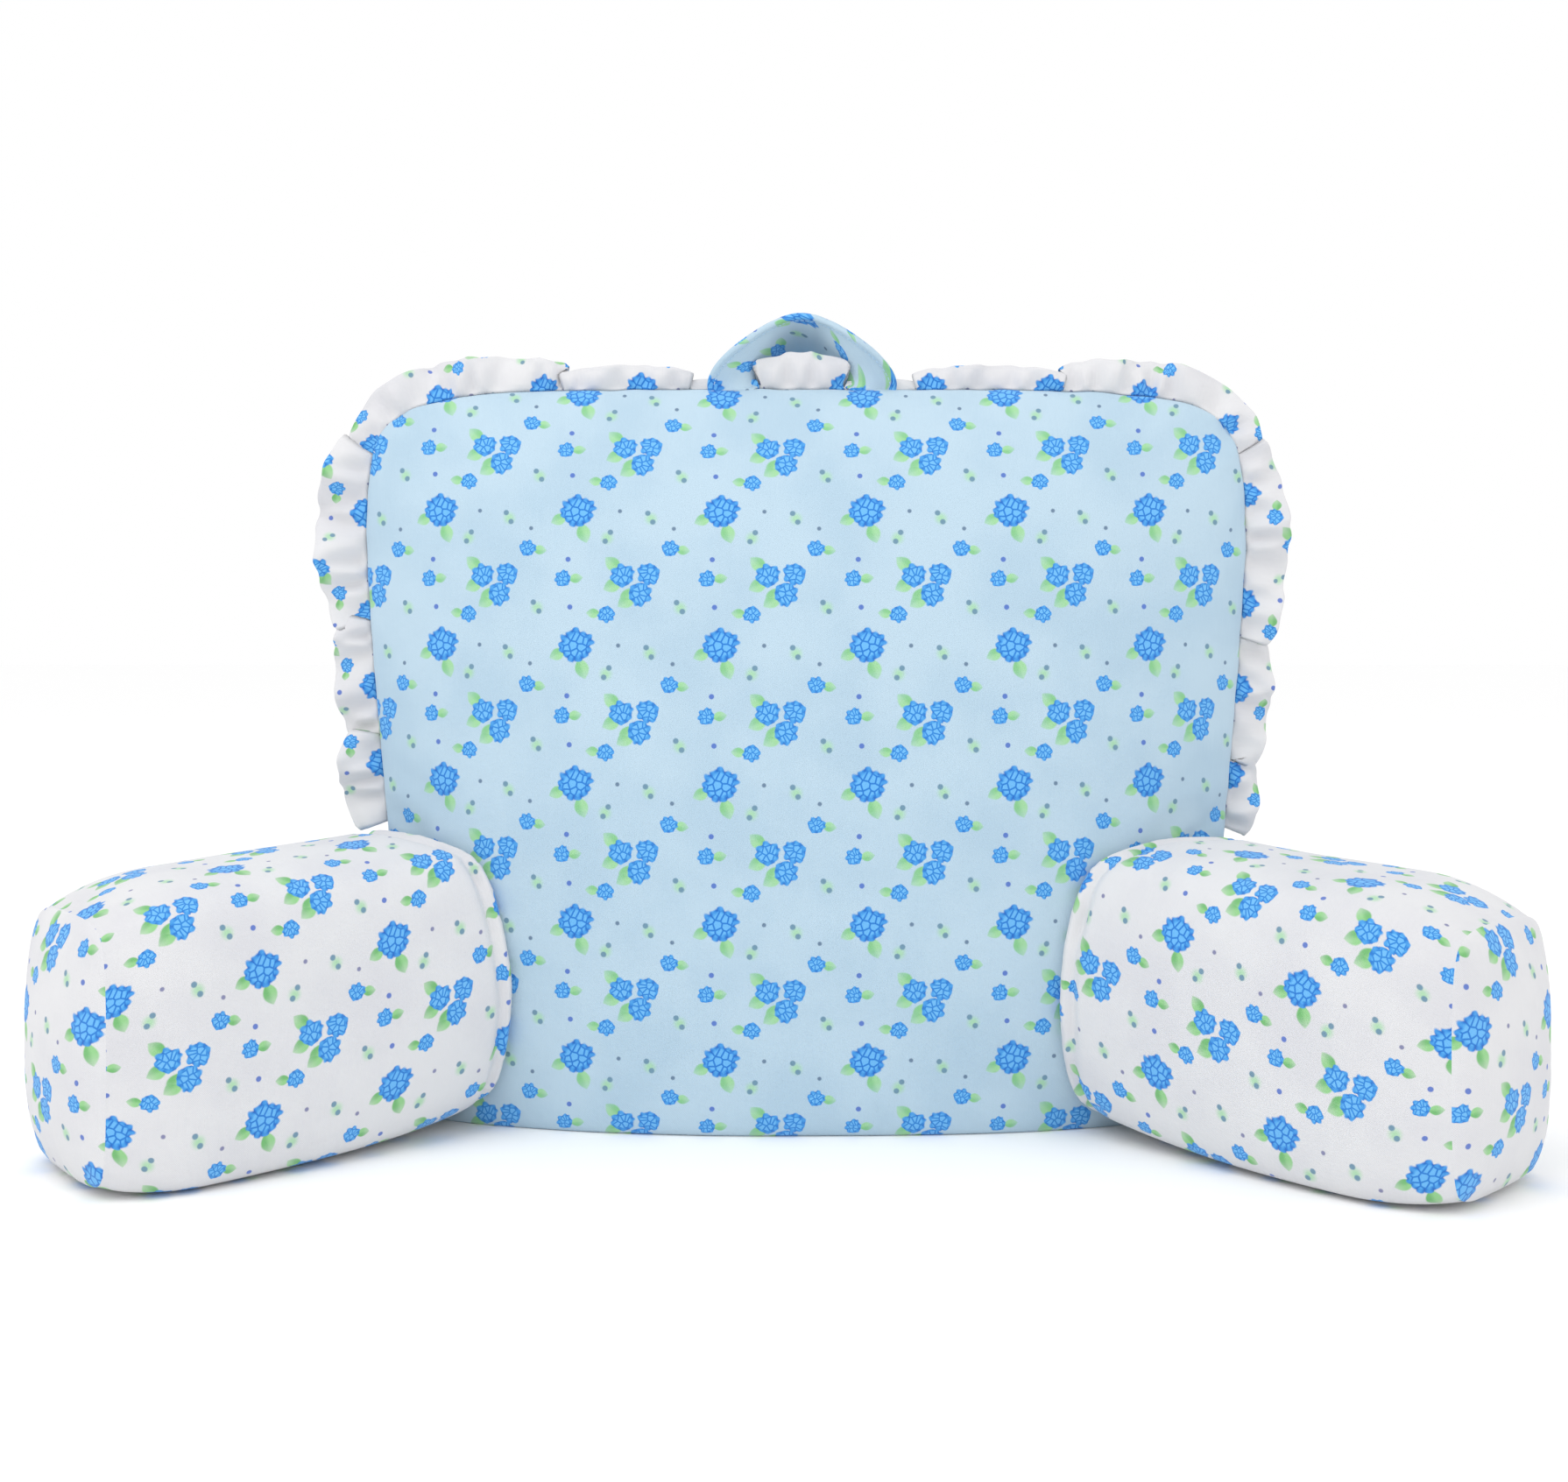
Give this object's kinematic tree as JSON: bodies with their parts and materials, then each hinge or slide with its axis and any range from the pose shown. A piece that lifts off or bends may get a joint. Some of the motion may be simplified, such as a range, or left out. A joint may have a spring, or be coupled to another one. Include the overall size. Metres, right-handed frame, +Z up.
{
  "type": "lounge pillow",
  "caption": "Filled bed lounge pillow with a puffed back, two bolster arms, a gathered ruffle round the top and a carrying loop, in floral print cotton.",
  "frame": {"origin": "on the floor under the middle of the pillow's bounding box", "axes": "+Z up, front panel faces -Y, +X towards the arm on the viewer's right"},
  "size_m": [0.8304, 0.3212, 0.4819],
  "materials": {
    "blue_print": "matt woven cotton, pale blue with a small floral print",
    "white_print": "matt woven cotton, white with a small floral print"
  },
  "bodies": {
    "root": {"back_cushion": "blue_print", "arm_left": "white_print", "arm_right": "white_print", "ruffle": "white_print", "handle": "blue_print"}
  },
  "joints": []
}
